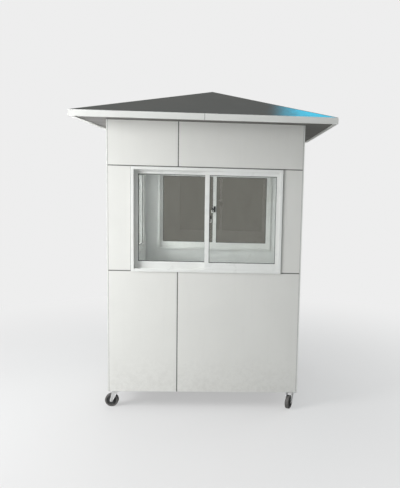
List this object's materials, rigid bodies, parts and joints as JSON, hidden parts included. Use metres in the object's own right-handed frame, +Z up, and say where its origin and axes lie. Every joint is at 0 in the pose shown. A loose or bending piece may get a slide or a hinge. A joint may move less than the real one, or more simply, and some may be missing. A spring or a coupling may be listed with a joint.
{
  "type": "security guard booth",
  "caption": "Square mobile guard booth clad in light grey composite panels, with white sliding windows, a glazed side door, a low hipped roof and swivel casters.",
  "frame": {"origin": "on the floor under the middle of the cabin, at the middle of the model's box", "axes": "+Z up, +X to the right seen from the front, front window wall facing -Y, door wall facing +X"},
  "size_m": [1.93, 1.93, 2.591],
  "materials": {
    "base_steel": "dark grey primer on steel box section, slightly rough",
    "floor_sheet": "grey vinyl sheet on board, matt with faint flecks",
    "wall_lining": "white coated composite sheet, satin",
    "cladding": "light warm grey coated aluminium composite sheet, satin",
    "cladding_trim": "light grey coated aluminium angle, satin",
    "window_profile": "white powder-coated aluminium profile, semi-gloss",
    "glazing": "clear float glass, faintly green, glossy",
    "hardware": "brushed stainless steel",
    "eaves_sheet": "light grey coated aluminium composite sheet, folded, satin",
    "soffit_sheet": "dark warm grey coated sheet, satin",
    "roof_sheet": "dark slate grey coated aluminium composite sheet, semi-gloss",
    "caster_steel": "zinc-plated pressed steel",
    "caster_tread": "dark grey solid wheel, matt tread"
  },
  "bodies": {
    "cabin": {"base_side_rails": "base_steel", "base_end_rails": "base_steel", "base_cross_members": "base_steel", "floor_deck": "floor_sheet", "front_wall": "wall_lining", "back_wall": "wall_lining", "left_wall": "wall_lining", "right_wall": "wall_lining", "front_cladding": "cladding", "back_cladding": "cladding", "left_cladding": "cladding", "right_cladding": "cladding", "corner_trims": "cladding_trim", "front_window_frame": "window_profile", "front_window_sashes": "window_profile", "front_window_glass": "glazing", "back_window_frame": "window_profile", "back_window_sashes": "window_profile", "back_window_glass": "glazing", "left_window_frame": "window_profile", "left_window_sashes": "window_profile", "left_window_glass": "glazing", "door_frame": "window_profile", "door_leaf": "window_profile", "door_glass": "glazing", "door_hinges": "hardware", "door_handles": "hardware", "ceiling": "wall_lining", "soffit": "soffit_sheet", "fascia": "eaves_sheet", "front_roof_sheet": "roof_sheet", "back_roof_sheet": "roof_sheet", "left_roof_sheet": "roof_sheet", "right_roof_sheet": "roof_sheet", "caster_plates": "caster_steel"},
    "front_left_caster": {"front_left_fork": "caster_steel"},
    "front_left_roller": {"front_left_wheel": "caster_tread"},
    "front_right_caster": {"front_right_fork": "caster_steel"},
    "front_right_roller": {"front_right_wheel": "caster_tread"},
    "back_left_caster": {"back_left_fork": "caster_steel"},
    "back_left_roller": {"back_left_wheel": "caster_tread"},
    "back_right_caster": {"back_right_fork": "caster_steel"},
    "back_right_roller": {"back_right_wheel": "caster_tread"}
  },
  "joints": [
    {"name": "front_left_swivel", "type": "hinge", "parent": "cabin", "child": "front_left_caster", "pos_m": [-0.7, -0.7, 0.126], "axis": [0, 0, 1], "continuous": true},
    {"name": "front_left_roll", "type": "hinge", "parent": "front_left_caster", "child": "front_left_roller", "pos_m": [-0.73, -0.7, 0.0525], "axis": [0, -1, 0], "continuous": true},
    {"name": "front_right_swivel", "type": "hinge", "parent": "cabin", "child": "front_right_caster", "pos_m": [0.7, -0.7, 0.126], "axis": [0, 0, 1], "continuous": true},
    {"name": "front_right_roll", "type": "hinge", "parent": "front_right_caster", "child": "front_right_roller", "pos_m": [0.68732, -0.72719, 0.0525], "axis": [0.9063, -0.4226, 0], "continuous": true},
    {"name": "back_left_swivel", "type": "hinge", "parent": "cabin", "child": "back_left_caster", "pos_m": [-0.7, 0.7, 0.126], "axis": [0, 0, 1], "continuous": true},
    {"name": "back_left_roll", "type": "hinge", "parent": "back_left_caster", "child": "back_left_roller", "pos_m": [-0.72598, 0.715, 0.0525], "axis": [-0.5, -0.866, 0], "continuous": true},
    {"name": "back_right_swivel", "type": "hinge", "parent": "cabin", "child": "back_right_caster", "pos_m": [0.7, 0.7, 0.126], "axis": [0, 0, 1], "continuous": true},
    {"name": "back_right_roll", "type": "hinge", "parent": "back_right_caster", "child": "back_right_roller", "pos_m": [0.72598, 0.715, 0.0525], "axis": [-0.5, 0.866, 0], "continuous": true}
  ]
}
